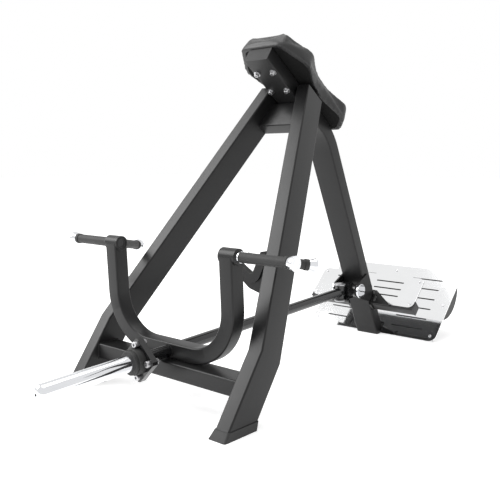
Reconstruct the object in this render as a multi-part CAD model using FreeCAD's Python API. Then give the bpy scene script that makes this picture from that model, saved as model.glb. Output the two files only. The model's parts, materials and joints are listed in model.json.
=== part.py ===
import FreeCAD, Part
import math
import os

# Chest-supported lever row, plate loaded.
#
# Two front legs lean back over a sloping pad beam, which bends down into one rear post.
# A lever hinged at the foot of the post runs forward between the legs. It carries a yoke
# with two pairs of grips, and a round sleeve for weight plates at its front end.
# The user stands on a slotted footplate behind the post and lies on the chest pad.
#
# Millimetres. +X is to the side with the catch hook, +Y runs from the sleeve to the
# footplates, +Z is up. The origin is on the floor, under the middle of the footprint.
# Every shape is drawn with Y = 0 at the foot of the legs' front faces, then moved back
# by FOOTPRINT_MID when it is written.

V = FreeCAD.Vector
SIDES = (-1, 1)
X_AXIS = V(1, 0, 0)
Y_AXIS = V(0, 1, 0)
Z_AXIS = V(0, 0, 1)

# ---- tube stock and fits ----
TUBE_WIDE = 100.0
TUBE_DEEP = 50.0
TUBE_CORNER = 5.0
TUBE_WALL = 3.0
RUN_GAP = 0.05            # between a pin and its bush, on the radius
SIDE_GAP = 0.3            # between faces that slide or rest on each other
HOLE_GAP = 0.5            # around a bolt, on the radius
FLOOR_RUBBER = 7.0        # under every tube that stands on the floor

# ---- legs ----
LEAN = 35.0               # legs from the vertical, and the pad beam from the level
LEG_INNER = 307.5         # middle of the machine to a leg's inner face at the floor
LEG_DEEP = 98.0
LEG_BEND_UP = 260.0       # from the floor up the slope to the bend
PAD_SEAT_UP = 1233.0      # from the floor up the slope to the seat of the chest pad
LEG_TOP_GAP = 18.0
FOOT_CAP_HIGH = 23.0
FOOT_CAP_FLARE = 7.0      # how far the foot of a cap stands out
FOOT_CAP_RIM = 2.5        # how far its upper edge stands out

# ---- pad beam and rear post ----
BEAM_FRONT = -167.0       # ahead of the legs' front faces, along the beam
POST_LEAN = 25.3
POST_FOOT_Y = 1283.0      # post's front face at the floor
POST_BEND_INNER = 200.0
END_PLATE = 4.0

# ---- cross tubes between the legs ----
LOWER_TUBE_FRONT = 100.0
LOWER_TUBE_DEEP = 80.0
LOWER_TUBE_UNDER = 83.5
LOWER_TUBE_HIGH = 50.0
STOP_PAD_X = 62.0
STOP_PAD_LONG = 44.0
STOP_PAD_DEEP = 34.0

# ---- chest pad ----
PAD_LEAD = 12.5           # pad's front edge ahead of the beam's front end
PAD_LONG = 461.0
PAD_THICK = 61.0
PAD_TAPER = 6.0           # how much narrower its upper face is, each side
BOARD_INSET = 14.0
BOARD_THICK = 12.0
PAD_BOLT_X = 35.0
PAD_BOLT_PLACES = (72.0, 165.0)   # from the pad's front edge
PAD_BOLT_R = 5.0
PAD_BOLT_HEAD_R = 8.0
PAD_BOLT_HEAD = 9.0
WASHER_R = 12.0
WASHER_THICK = 2.0

# ---- lever ----
PIVOT_Y = 1131.0
PIVOT_Z = 210.0
LEVER_DROP = 2.93         # the bar slopes down to the front at rest
LEVER_SWING = 61.0        # from the cross pin to the swivel pin
BAR_R = 19.0
BAR_WALL = 4.0
FLANGE_AT = 1101.4        # from the cross pin to the back of the flange
FLANGE_SIDE = 100.0
FLANGE_TIP = 66.0         # where the flange's corners are cut off
FLANGE_PLATE = 10.0
FLANGE_BOLT_R = 6.0
FLANGE_BOLT_CIRCLE = 50.0
FLANGE_HEAD_R = 9.5
FLANGE_HEAD = 12.0
FLANGE_NUT = 10.0
FLANGE_NUT_R = 10.45       # over its corners
FLANGE_BOLT_TAIL = 4.0     # bolt left showing past its nut
FLANGE_CORNER = 3.0
COLLAR_R = 40.0
COLLAR_LIP_R = 36.5
COLLAR_LONG = 34.0
COLLAR_LIP = 11.0
COLLAR_EDGE = 2.5
COLLAR_SEAT = 0.5          # the sleeve is turned down by this under the collar
COLLAR_GAP = 0.5           # from the collar's face to the sleeve's full size
SLEEVE_R = 25.0
SLEEVE_WALL = 4.0
SLEEVE_REACH = 1460.0     # from the cross pin to the tip of the sleeve
SLEEVE_PLUG = 24.0
SLEEVE_ROUND = 17.0
SLEEVE_EYE_R = 4.0
SLEEVE_EYE_DEEP = 13.0

# ---- yoke ----
YOKE_FRONT = 1001.7       # from the cross pin to its front face
YOKE_WIDE = 49.0
YOKE_INNER_R = 131.0
YOKE_ARM_X = 227.7        # middle of the machine to an arm's inner face
GRIP_UP = 311.0           # lever's axis up to the grips' axis

# ---- grips ----
BOSS_R = 23.5
BOSS_INSIDE = 5.0         # boss past the arm towards the middle
BOSS_OUTSIDE = 8.0
BOSS_BORE_R = 16.5
BOSS_BORE_DEEP = 30.0
END_DISC_R = 12.0
END_DISC_DEEP = 10.0
END_DISC_DISH = 2.0
GRIP_BAR_R = 11.0
GRIP_R = 15.0
GRIP_RIM_R = 16.8
GRIP_RIM = 12.0
OUTER_GRIP_LONG = 164.0
REAR_GRIP_LONG = 173.0
GRIP_RING_R = 16.5
GRIP_RING = 8.0
GRIP_CAP = 24.0
GRIP_CAP_R = 21.3
GRIP_CAP_FLARE = 0.75     # share of the cap's length that flares
REAR_GRIP_START = 50.5    # from the boss's middle to the rear grip's ring
REAR_GRIP_OUT = 34.0
REAR_GRIP_DROP = 10.8

# ---- hinge at the post ----
PIN_R = 12.5
PIN_DISC_R = 29.0
PIN_DISC = 6.0
DISC_EDGE = 1.5
CHEEK = 6.0
BUSH_WALL = 3.0
HUB_R = 25.0
THRUST_R = 23.0
THRUST = 6.0
CHEEK_NOSE_R = 13.0
SWIVEL_PIN_R = 8.0
SWIVEL_R = 18.0
SWIVEL_HIGH = 50.0
BUSH_APART = 3.0           # from the middle of the barrel to each of its bushes
LUG = 6.0
LUG_R = 23.0
SWIVEL_CAP = 4.5

# ---- catch hook ----
HOOK_MID_Y = 340.0
HOOK_DEEP = 20.0
HOOK_STRIP = 27.0
HOOK_BEND_R = 13.0        # inner radius of the seat
HOOK_SEAT_X = 160.0
HOOK_SEAT_Z = 387.0
HOOK_RAMP = 31.0          # entry ramp above the level
HOOK_RAMP_LONG = 78.0
HOOK_ARM = 64.0           # steep arm above the level
HOOK_ARM_LONG = 78.0
HOOK_LINER = 3.0
HOOK_WEB = 8.0
HOOK_WEB_OUT = 95.0       # from the seat's lowest point to the leg
HOOK_WEB_IN = 68.0        # and to the web's tip under the ramp
HOOK_WEB_KNEE = (-12.0, -45.0)
HOOK_WEB_LOW = -73.0
HOOK_WEB_HIGH = 50.0

# ---- footplates ----
TREAD_SLOPE = 45.0
TREAD_THICK = 4.0
SLOT_HIGH = 6.0
PLATE_Y = 1295.0          # lower edge of the large plate
PLATE_Z = 7.0
PLATE_HALF = 305.0
PLATE_LONG = 361.0
PLATE_CORNER = 28.0
PLATE_SLOT_PITCH = 50.5
PLATE_SLOTS = 6
PLATE_SLOT_IN = 92.0
PLATE_SLOT_OUT = 234.0
STEP_OFF = 157.0          # small plate ahead of the large one, square to both
STEP_UP = 47.6            # its lower edge further up the slope
STEP_HALF = 245.0
STEP_LONG = 148.0
STEP_CORNER = 24.0
STEP_SLOT_ROWS = ((45.0, 76.0), (79.5, 35.0), (114.0, 35.0))   # up the slope, inner end
STEP_SLOT_OUT = 163.0
NOTCH_GAP = 7.0           # around the post, where a plate is cut out for it
PLATE_NOTCH_UP = 55.0
STEP_NOTCH_UP = 62.0
SCREW_R = 4.0
SCREW_HEAD_R = 6.0
SCREW_HEAD = 2.5
PLATE_SCREW_X = 279.0
PLATE_SCREW_ROWS = (25.0, 180.0, 333.0)
STEP_SCREW_X = 228.0
STEP_SCREW_ROWS = (18.0, 130.0)

# ---- under the footplates ----
RAIL_WIDE = 34.0
RAIL_THICK = 6.0
CROSS_RAIL_ROWS = (212.0, 333.0)
SKIRT_THICK = 4.0
SKIRT_FROM = 112.0
SKIRT_TO = 302.0
SKIRT_DEEP = 50.0
SKIRT_SWELL = 22.0        # its deepest place, further up the slope than its middle
SPINE_WIDE = 60.0
SPINE_HIGH = 30.0
REAR_TUBE_Y = 1420.0
REAR_TUBE_DEEP = 50.0
REAR_TUBE_HALF = 170.0
REAR_TUBE_HIGH = 50.0
PROP_X = 120.0
PROP_WIDE = 40.0
PROP_DEEP = 40.0
STEP_TUBE_SIDE = 40.0
STEP_TUBE_UNDER = 6.0     # below the small plate's lower edge
STEP_BRACKET = 10.0
STEP_CAP = 4.0
GUSSET = 4.0
GUSSET_HIGH = 62.0
GUSSET_REACH = 94.0

BEAM_HALF = TUBE_WIDE / 2
LEG_LEAN_IN = math.degrees(math.atan((LEG_INNER - BEAM_HALF) / (PAD_SEAT_UP - LEG_BEND_UP)))
HEX_TURN = 60.0            # degrees from one corner of a hexagon to the next
YOKE_MID = YOKE_FRONT - TUBE_DEEP / 2
YOKE_R = YOKE_INNER_R + YOKE_WIDE / 2
YOKE_ARM_MID = YOKE_ARM_X + YOKE_WIDE / 2
BOSS_IN_X = YOKE_ARM_X - BOSS_INSIDE
BOSS_OUT_X = YOKE_ARM_X + YOKE_WIDE + BOSS_OUTSIDE
FLANGE_FRONT = FLANGE_AT + 2 * FLANGE_PLATE
PAD_FRONT = BEAM_FRONT - PAD_LEAD
HUB_HALF = BEAM_HALF - THRUST - SIDE_GAP
LUG_TOP = SWIVEL_HIGH / 2 + LUG


def rad(degrees):
    return math.radians(degrees)


# ---- where the sub-assemblies stand ----

def leaned(shape):
    """From the legs' own frame (x, back along the beam, up the leg) to the machine's."""
    return shape.rotated(V(), X_AXIS, -LEAN)


def on_lever(shape):
    """From the lever's own frame (origin on the cross pin, bar along -Y) to the machine's."""
    return shape.rotated(V(), X_AXIS, LEVER_DROP).translated(V(0, PIVOT_Y, PIVOT_Z))


def on_plate(shape):
    """From the large footplate's frame (x, up the slope, out of its face) to the machine's."""
    return shape.rotated(V(), X_AXIS, TREAD_SLOPE).translated(V(0, PLATE_Y, PLATE_Z))


def on_step(shape):
    """The same for the small footplate."""
    return on_plate(shape.translated(V(0, STEP_UP, STEP_OFF)))


# ---- drawing helpers ----

def block(low_x, high_x, low_y, high_y, low_z, high_z):
    size = (high_x - low_x, high_y - low_y, high_z - low_z)
    return Part.makeBox(*size, V(low_x, low_y, low_z))


def rod(start, along, radius, length):
    return Part.makeCylinder(radius, length, start, along)


def rounded_rod(start, along, radius, length, edge):
    """Round bar whose far end has a rounded rim."""
    shape = rod(start, along, radius, length)
    rim = [e for e in shape.Edges if abs((e.CenterOfMass - start).dot(along) - length) < 0.01
           and e.Length > 2 * radius]
    return shape.makeFillet(edge, rim)


def ring(start, along, outer, inner, length):
    return rod(start, along, outer, length).cut(rod(start, along, inner, length))


def mirrored(shape):
    """The same piece on the other side of the machine."""
    return shape.mirror(V(), X_AXIS)


def both_sides(shape):
    return Part.makeCompound([mirrored(shape), shape])


def rounded_wire(corners):
    """Closed wire through (point, radius) corners, turned by arcs tangent to both runs."""
    runs = []
    for i, (here, radius) in enumerate(corners):
        back = (corners[i - 1][0] - here).normalize()
        ahead = (corners[(i + 1) % len(corners)][0] - here).normalize()
        half_angle = back.getAngle(ahead) / 2
        reach = radius / math.tan(half_angle)
        depth = radius / math.sin(half_angle) - radius
        middle = here + (back + ahead).normalize() * depth
        runs.append((here + back * reach, middle, here + ahead * reach, radius))
    edges = []
    for i, (start, middle, end, radius) in enumerate(runs):
        if radius:
            edges.append(Part.Arc(start, middle, end).toShape())
        following = runs[(i + 1) % len(runs)][0]
        if (following - end).Length > 1e-6:
            edges.append(Part.LineSegment(end, following).toShape())
    return Part.Wire(edges)


def prism(corners, depth):
    return Part.Face(rounded_wire(corners)).extrude(depth)


def in_xz(corners, y=0.0):
    return [(V(x, y, z), radius) for x, z, radius in corners]


def in_xy(corners, z=0.0):
    return [(V(x, y, z), radius) for x, y, radius in corners]


def in_yz(corners, x=0.0):
    return [(V(x, y, z), radius) for y, z, radius in corners]


def section(centre, across, up, wide, tall, corner):
    """Rounded rectangle about a centre, in the plane of two directions."""
    half = across * (wide / 2)
    rise = up * (tall / 2)
    places = (centre - half - rise, centre + half - rise, centre + half + rise, centre - half + rise)
    return rounded_wire([(place, corner) for place in places])


def straight_tube(start, run, across, wide, tall, corner=TUBE_CORNER, wall=TUBE_WALL):
    """Hollow rectangular tube, open at both ends."""
    up = run.cross(across).normalize()
    solid = Part.Face(section(start, across, up, wide, tall, corner)).extrude(run)
    hole = section(start, across, up, wide - 2 * wall, tall - 2 * wall, max(corner - wall, 1.0))
    return solid.cut(Part.Face(hole).extrude(run))


def bent_tube(path, along, across, wide, tall, corner=TUBE_CORNER, inset=0.0):
    """Solid swept along a path. With an inset it is the hollow inside that tube."""
    start = path.OrderedVertexes[0].Point
    up = along.cross(across).normalize()
    size = (wide - 2 * inset, tall - 2 * inset, max(corner - inset, 1.0))
    return path.makePipeShell([section(start, across, up, *size)], True, False, 1)


# ---- legs and what joins them ----

def leg_inner_at(up):
    """A leg's inner face, from the middle of the machine, at a distance up the slope."""
    above = max(up - LEG_BEND_UP, 0.0)
    return LEG_INNER - above * math.tan(rad(LEG_LEAN_IN))


def leg_run(side, low, high, inset=0.0):
    """Leg's outer shape in its own frame, between two distances up the slope."""
    half = rad(LEG_LEAN_IN) / 2
    step = TUBE_DEEP * math.tan(half)
    slant = TUBE_DEEP / math.cos(rad(LEG_LEAN_IN))
    inner = [(leg_inner_at(low), low), (LEG_INNER, LEG_BEND_UP), (leg_inner_at(high), high)]
    outer = [(leg_inner_at(high) + slant, high), (LEG_INNER + TUBE_DEEP, LEG_BEND_UP + step),
             (LEG_INNER + TUBE_DEEP, low)]
    if inset:
        tilt = inset / math.cos(rad(LEG_LEAN_IN))
        inner = [(inner[0][0] + inset, low), (LEG_INNER + inset, LEG_BEND_UP),
                 (inner[2][0] + tilt, high)]
        outer = [(outer[0][0] - tilt, high), (outer[1][0] - inset, outer[1][1]),
                 (outer[2][0] - inset, low)]
    face = in_xz([(side * x, up, 0.0) for x, up in inner + outer], inset)
    return prism(face, Y_AXIS * (LEG_DEEP - 2 * inset))


def leg_solid(side, inset=0.0):
    """Leg with rounded long edges, from below the floor to its cut top."""
    below = -LEG_DEEP
    top = PAD_SEAT_UP - LEG_TOP_GAP - inset
    shape = leg_run(side, below, top, inset)
    corner = max(TUBE_CORNER - inset, 1.0)
    long_edges = [edge for edge in shape.Edges
                  if abs(edge.tangentAt(edge.FirstParameter).y) < 0.1 and edge.Length > LEG_DEEP
                  and not is_end(edge, below, top)]
    return leaned(shape.makeFillet(corner, long_edges))


def is_end(edge, *levels):
    """Whether an edge lies in one of the level planes that close a run."""
    box = edge.BoundBox
    return any(abs(box.ZMin - level) < 0.01 and abs(box.ZMax - level) < 0.01 for level in levels)


def below_plane(height):
    far = 4000.0
    return block(-far, far, -far, far, -far, height)


def front_leg(side):
    leg = leg_solid(side).cut(leg_solid(side, TUBE_WALL))
    return leg.cut(below_plane(FLOOR_RUBBER))


def foot_cap(side):
    """Rubber shoe that holds the foot of a leg."""
    leg_rear = LEG_DEEP / math.cos(rad(LEAN))
    shift = FOOT_CAP_HIGH * math.tan(rad(LEAN))
    wires = []
    for height, rim, slide in ((0.0, FOOT_CAP_FLARE, 0.0), (FOOT_CAP_HIGH, FOOT_CAP_RIM, shift)):
        low = LEG_INNER - rim
        high = LEG_INNER + TUBE_DEEP + rim
        front = slide - rim
        rear = leg_rear + slide + rim
        corners = ((low, front, 7.0), (high, front, 7.0), (high, rear, 7.0), (low, rear, 7.0))
        wires.append(rounded_wire(in_xy([(side * x, y, r) for x, y, r in corners], height)))
    cap = Part.makeLoft(wires, True, True)
    held = leg_solid(side).cut(below_plane(FLOOR_RUBBER))
    return cap.cut(held)


def lower_cross_tube():
    middle = V(-LEG_INNER, LOWER_TUBE_FRONT + LOWER_TUBE_DEEP / 2, LOWER_TUBE_UNDER + LOWER_TUBE_HIGH / 2)
    return straight_tube(middle, X_AXIS * (2 * LEG_INNER), Y_AXIS, LOWER_TUBE_DEEP, LOWER_TUBE_HIGH)


def upper_cross_tube():
    """Tube between the legs under the pad beam, its ends cut to the legs' inner faces."""
    top = PAD_SEAT_UP - TUBE_DEEP
    low = top - TUBE_WIDE
    front = LEG_DEEP - TUBE_DEEP
    start = V(-LEG_INNER, front + TUBE_DEEP / 2, (low + top) / 2)
    tube = straight_tube(start, X_AXIS * (2 * LEG_INNER), Y_AXIS, TUBE_DEEP, TUBE_WIDE)
    ends = [(-leg_inner_at(low), low, 0.0), (leg_inner_at(low), low, 0.0),
            (leg_inner_at(top), top, 0.0), (-leg_inner_at(top), top, 0.0)]
    return leaned(tube.common(prism(in_xz(ends), Y_AXIS * LEG_DEEP)))


def stop_pads():
    """Two rubber pads on the lower cross tube, on which the yoke comes to rest."""
    top = LOWER_TUBE_UNDER + LOWER_TUBE_HIGH
    front = PIVOT_Y - YOKE_FRONT * math.cos(rad(LEVER_DROP)) + 6.0
    room = block(-STOP_PAD_X - STOP_PAD_LONG / 2, -STOP_PAD_X + STOP_PAD_LONG / 2,
                 front, front + STOP_PAD_DEEP, top, top + TUBE_DEEP)
    under_yoke = block(-LEG_INNER, LEG_INNER, -SLEEVE_REACH, 0, -TUBE_WIDE - YOKE_WIDE / 2,
                       -YOKE_WIDE / 2 - SIDE_GAP)
    return both_sides(room.common(on_lever(under_yoke)))


# ---- rear post, beam and pad ----

def crossing(start, along, other, other_along):
    """Where two lines in a plane of constant X meet."""
    gap = other - start
    turn = along.y * other_along.z - along.z * other_along.y
    return start + along * ((gap.y * other_along.z - gap.z * other_along.y) / turn)


def post_line():
    """A point on the post's middle line at the floor, and its direction upwards."""
    foot = V(0, POST_FOOT_Y + TUBE_DEEP / 2 / math.cos(rad(POST_LEAN)), 0)
    return foot, V(0, -math.sin(rad(POST_LEAN)), math.cos(rad(POST_LEAN)))


def post_path():
    """Middle line of the beam and post, from the beam's front end past the floor."""
    foot, up = post_line()
    beam_start = V(0, BEAM_FRONT, PAD_SEAT_UP - TUBE_DEEP / 2)
    beam_start = Part.Vertex(beam_start).rotated(V(), X_AXIS, -LEAN).Point
    along = V(0, math.cos(rad(LEAN)), -math.sin(rad(LEAN)))
    corner = crossing(beam_start, along, foot, up)
    radius = POST_BEND_INNER + TUBE_DEEP / 2
    half = rad(90.0 - LEAN - POST_LEAN) / 2
    reach = radius * math.tan(half)
    turn_in = corner - along * reach
    turn_out = corner - up * reach
    inward = (turn_in + turn_out) * 0.5 - corner
    middle = corner + inward.normalize() * (radius / math.cos(half) - radius)
    end = foot - up * TUBE_WIDE
    edges = [Part.LineSegment(beam_start, turn_in).toShape(),
             Part.Arc(turn_in, middle, turn_out).toShape(),
             Part.LineSegment(turn_out, end).toShape()]
    return Part.Wire(edges), along


def post_solid(inset=0.0):
    path, along = post_path()
    return bent_tube(path, along, X_AXIS, TUBE_WIDE, TUBE_DEEP, TUBE_CORNER, inset)


def rear_post():
    post = post_solid().cut(post_solid(TUBE_WALL)).cut(below_plane(FLOOR_RUBBER))
    for x in (-PAD_BOLT_X, PAD_BOLT_X):
        for place in PAD_BOLT_PLACES:
            post = post.cut(pad_bolt_hole(x, place))
    return post


def pad_bolt_hole(x, place):
    start = V(x, PAD_FRONT + place, PAD_SEAT_UP - TUBE_WIDE)
    return leaned(rod(start, Z_AXIS, PAD_BOLT_R + HOLE_GAP, TUBE_WIDE + BOARD_THICK))


def post_foot():
    """Rubber glide under the post."""
    slab = block(-BEAM_HALF, BEAM_HALF, POST_FOOT_Y - TUBE_WIDE, POST_FOOT_Y + TUBE_WIDE, 0, FLOOR_RUBBER)
    return slab.common(post_solid())


def beam_end_plate():
    low = PAD_SEAT_UP - TUBE_DEEP
    corners = [(-BEAM_HALF, low, TUBE_CORNER), (BEAM_HALF, low, TUBE_CORNER),
               (BEAM_HALF, PAD_SEAT_UP, TUBE_CORNER), (-BEAM_HALF, PAD_SEAT_UP, TUBE_CORNER)]
    return leaned(prism(in_xz(corners, BEAM_FRONT - END_PLATE), Y_AXIS * END_PLATE))


def pad_outline(inset, height):
    """Pad's outline: blunt ends, widest near the front, pinched at the waist."""
    half = [(0.0, 88.0, 25.0), (111.4, 146.0, 60.0), (240.0, 92.0, 210.0),
            (398.0, 130.0, 40.0), (PAD_LONG, 78.0, 30.0)]
    shrink = 1 - 2 * inset / PAD_LONG
    near = [(x - inset, PAD_FRONT + inset + place * shrink, turn) for place, x, turn in half]
    far = [(-x, y, turn) for x, y, turn in reversed(near)]
    return rounded_wire(in_xy(near + far, height))


def pad_board():
    """Plywood board let into the underside of the cushion, with a hole for each bolt."""
    board = Part.Face(pad_outline(BOARD_INSET, PAD_SEAT_UP)).extrude(Z_AXIS * BOARD_THICK)
    board = leaned(board)
    for x in (-PAD_BOLT_X, PAD_BOLT_X):
        for place in PAD_BOLT_PLACES:
            start = V(x, PAD_FRONT + place, PAD_SEAT_UP)
            board = board.cut(leaned(rod(start, Z_AXIS, PAD_BOLT_R, BOARD_THICK)))
    return board


def chest_pad():
    wires = [pad_outline(0.0, PAD_SEAT_UP), pad_outline(PAD_TAPER, PAD_SEAT_UP + PAD_THICK)]
    cushion = Part.makeLoft(wires, True, True)
    pocket = Part.Face(pad_outline(BOARD_INSET, PAD_SEAT_UP)).extrude(Z_AXIS * BOARD_THICK)
    return leaned(cushion.cut(pocket))


def pad_bolts():
    """Cap screws from under the beam up into the board."""
    head_top = PAD_SEAT_UP - TUBE_DEEP - WASHER_THICK
    bolts = []
    for x in (-PAD_BOLT_X, PAD_BOLT_X):
        for place in PAD_BOLT_PLACES:
            foot = V(x, PAD_FRONT + place, head_top)
            shank = rod(foot, Z_AXIS, PAD_BOLT_R, TUBE_DEEP + WASHER_THICK + BOARD_THICK)
            bolts.append(shank.fuse(socket_head(foot, -Z_AXIS, PAD_BOLT_HEAD_R, PAD_BOLT_HEAD)))
    return leaned(Part.makeCompound(bolts))


def socket_head(seat, out, radius, height):
    """Cap screw head with a rounded rim and a hexagon socket."""
    head = rounded_rod(seat, out, radius, height, radius / 6)
    across = X_AXIS * (radius / 2)
    hexagon = [seat + out * (height / 2) + FreeCAD.Rotation(out, HEX_TURN * i).multVec(across)
               for i in range(6)]
    socket = Part.Face(Part.makePolygon(hexagon + hexagon[:1])).extrude(out * height)
    return head.cut(socket)


def pad_washers():
    washers = []
    for x in (-PAD_BOLT_X, PAD_BOLT_X):
        for place in PAD_BOLT_PLACES:
            seat = V(x, PAD_FRONT + place, PAD_SEAT_UP - TUBE_DEEP)
            washers.append(ring(seat, -Z_AXIS, WASHER_R, PAD_BOLT_R, WASHER_THICK))
    return leaned(Part.makeCompound(washers))


# ---- catch hook on the +X leg ----

def hook_lines():
    """The seat's lowest inner point, and the directions of ramp and arm, in X and Z."""
    ramp = V(-math.cos(rad(HOOK_RAMP)), 0, math.sin(rad(HOOK_RAMP)))
    arm = V(math.cos(rad(HOOK_ARM)), 0, math.sin(rad(HOOK_ARM)))
    return V(HOOK_SEAT_X, 0, HOOK_SEAT_Z), ramp, arm


def hook_shape(inner_r, thick, ramp_long, arm_long, front, deep):
    """Strip bent round the seat: an entry ramp, an arc and a steep arm."""
    low, ramp, arm = hook_lines()
    half = ramp.getAngle(arm) / 2
    centre = low + Z_AXIS * HOOK_BEND_R
    bisector = (ramp + arm).normalize()
    inner = centre - bisector * (inner_r / math.sin(half))
    outer_r = inner_r + thick
    outer = centre - bisector * (outer_r / math.sin(half))
    ramp_end = centre + ramp * ramp_long
    arm_end = centre + arm * arm_long
    ramp_out = (ramp * -1).cross(Y_AXIS).normalize()
    arm_out = arm.cross(Y_AXIS).normalize()
    if ramp_out.z > 0:
        ramp_out = ramp_out * -1
    if arm_out.z > 0:
        arm_out = arm_out * -1
    tip_r = thick * 0.3
    arm_tip = [(arm_end + arm_out * inner_r, tip_r), (arm_end + arm_out * outer_r, tip_r)]
    ramp_tip = [(ramp_end + ramp_out * outer_r, tip_r), (ramp_end + ramp_out * inner_r, tip_r)]
    corners = [(inner, inner_r), *arm_tip, (outer, outer_r), *ramp_tip]
    corners = [(V(point.x, front, point.z), turn) for point, turn in corners]
    return prism(corners, Y_AXIS * deep)


def catch_hook():
    front = HOOK_MID_Y - HOOK_DEEP / 2
    hook = hook_shape(HOOK_BEND_R, HOOK_STRIP, HOOK_RAMP_LONG, HOOK_ARM_LONG, front, HOOK_DEEP)
    return hook.cut(leg_solid(1))


def catch_liner():
    """Thin rubber strip in the seat of the hook."""
    front = HOOK_MID_Y - HOOK_DEEP / 2
    inner = HOOK_BEND_R - HOOK_LINER
    shorten = HOOK_LINER * 2
    return hook_shape(inner, HOOK_LINER, HOOK_RAMP_LONG - shorten, HOOK_ARM_LONG - shorten, front, HOOK_DEEP)


def catch_web():
    """Plate under the hook that carries it from the inner face of the leg."""
    low = hook_lines()[0]
    knee_x, knee_z = HOOK_WEB_KNEE
    corners = [(low.x - HOOK_WEB_IN, low.z, 0.0), (low.x + knee_x, low.z + knee_z, 2 * HOOK_STRIP),
               (low.x + HOOK_WEB_OUT, low.z + HOOK_WEB_LOW, 0.0),
               (low.x + HOOK_WEB_OUT, low.z + HOOK_WEB_HIGH, 0.0)]
    front = HOOK_MID_Y - HOOK_WEB / 2
    web = prism(in_xz(corners, front), Y_AXIS * HOOK_WEB)
    above = hook_shape(0.5, HOOK_BEND_R + HOOK_STRIP - 0.5, 2 * HOOK_RAMP_LONG, 2 * HOOK_ARM_LONG,
                       front - HOOK_DEEP, 3 * HOOK_DEEP)
    pieces = web.cut(above).cut(leg_solid(1)).Solids
    return max(pieces, key=lambda piece: piece.Volume)


# ---- hinge and swivel at the post ----

def pivot_cheek(side):
    """Side plate welded to the post, with a nose that holds the cross pin."""
    corners = [(-25.0, -24.0, CHEEK_NOSE_R), (-24.0, 26.0, CHEEK_NOSE_R), (55.0, 66.0, 8.0),
               (94.0, 6.0, 8.0), (96.0, -60.0, 8.0)]
    start = BEAM_HALF if side > 0 else -BEAM_HALF - CHEEK
    plate = prism(in_yz(corners, start), X_AXIS * CHEEK)
    plate = plate.cut(rod(V(start, 0, 0), X_AXIS, PIN_R, CHEEK))
    return plate.translated(V(0, PIVOT_Y, PIVOT_Z))


def cross_pin():
    reach = BEAM_HALF + CHEEK
    return rod(V(-reach, PIVOT_Y, PIVOT_Z), X_AXIS, PIN_R, 2 * reach)


def pin_discs():
    """Round retaining discs on the ends of the cross pin."""
    seat = V(BEAM_HALF + CHEEK, PIVOT_Y, PIVOT_Z)
    return both_sides(rounded_rod(seat, X_AXIS, PIN_DISC_R, PIN_DISC, DISC_EDGE))


def thrust_rings():
    seat = V(BEAM_HALF - THRUST, PIVOT_Y, PIVOT_Z)
    return both_sides(ring(seat, X_AXIS, THRUST_R, PIN_R, THRUST))


def hub_bushes():
    """Two bronze bushes pressed into the hub, running on the cross pin."""
    start = V(HUB_HALF - HUB_R, 0, 0)
    bush = ring(start, X_AXIS, PIN_R + BUSH_WALL, PIN_R + RUN_GAP, HUB_R)
    return on_lever(both_sides(bush))


def knuckle():
    """Hub on the cross pin, with two lugs that hold the swivel pin."""
    hub = rod(V(-HUB_HALF, 0, 0), X_AXIS, HUB_R, 2 * HUB_HALF)
    lug_plan = in_xy([(-LUG_R, 0, 0.0), (LUG_R, 0, 0.0), (LUG_R, -LEVER_SWING - LUG_R, LUG_R - 0.01),
                      (-LUG_R, -LEVER_SWING - LUG_R, LUG_R - 0.01)], -LUG_TOP)
    fork = prism(lug_plan, Z_AXIS * (2 * LUG_TOP))
    mouth = block(-SLEEVE_REACH, SLEEVE_REACH, -SLEEVE_REACH, -LEVER_SWING + SWIVEL_R + 4.0,
                  -SWIVEL_HIGH / 2 - SIDE_GAP, SWIVEL_HIGH / 2 + SIDE_GAP)
    body = hub.fuse(fork.cut(mouth))
    body = body.cut(rod(V(-HUB_HALF, 0, 0), X_AXIS, PIN_R + BUSH_WALL, 2 * HUB_HALF))
    body = body.cut(rod(V(0, -LEVER_SWING, -LUG_TOP), Z_AXIS, SWIVEL_PIN_R, 2 * LUG_TOP))
    return on_lever(body.removeSplitter())


def swivel_pin():
    return on_lever(rod(V(0, -LEVER_SWING, -LUG_TOP), Z_AXIS, SWIVEL_PIN_R, 2 * LUG_TOP))


def swivel_caps():
    """Flanged caps over the ends of the swivel pin."""
    caps = []
    for out in (Z_AXIS, -Z_AXIS):
        seat = V(0, -LEVER_SWING, 0) + out * LUG_TOP
        caps.append(rounded_rod(seat, out, LUG_R, SWIVEL_CAP, DISC_EDGE))
    return on_lever(Part.makeCompound(caps))


def swivel_barrel():
    start = V(0, -LEVER_SWING, -SWIVEL_HIGH / 2)
    return on_lever(ring(start, Z_AXIS, SWIVEL_R, SWIVEL_PIN_R + BUSH_WALL, SWIVEL_HIGH))


def barrel_bushes():
    bushes = []
    for out in (Z_AXIS, -Z_AXIS):
        start = V(0, -LEVER_SWING, 0) + out * BUSH_APART
        length = SWIVEL_HIGH / 2 - BUSH_APART
        bushes.append(ring(start, out, SWIVEL_PIN_R + BUSH_WALL, SWIVEL_PIN_R + RUN_GAP, length))
    return on_lever(Part.makeCompound(bushes))


# ---- lever, flange and sleeve ----

def lever_bar():
    start = V(0, -FLANGE_AT, 0)
    reach = FLANGE_AT - LEVER_SWING
    bar = ring(start, Y_AXIS, BAR_R, BAR_R - BAR_WALL, reach)
    barrel = rod(V(0, -LEVER_SWING, -SWIVEL_HIGH), Z_AXIS, SWIVEL_R, 2 * SWIVEL_HIGH)
    return on_lever(bar.cut(barrel))


def flange_bolt_places():
    turns = (rad(90.0 * i) for i in range(4))
    return [V(FLANGE_BOLT_CIRCLE * math.sin(turn), 0, FLANGE_BOLT_CIRCLE * math.cos(turn)) for turn in turns]


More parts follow.
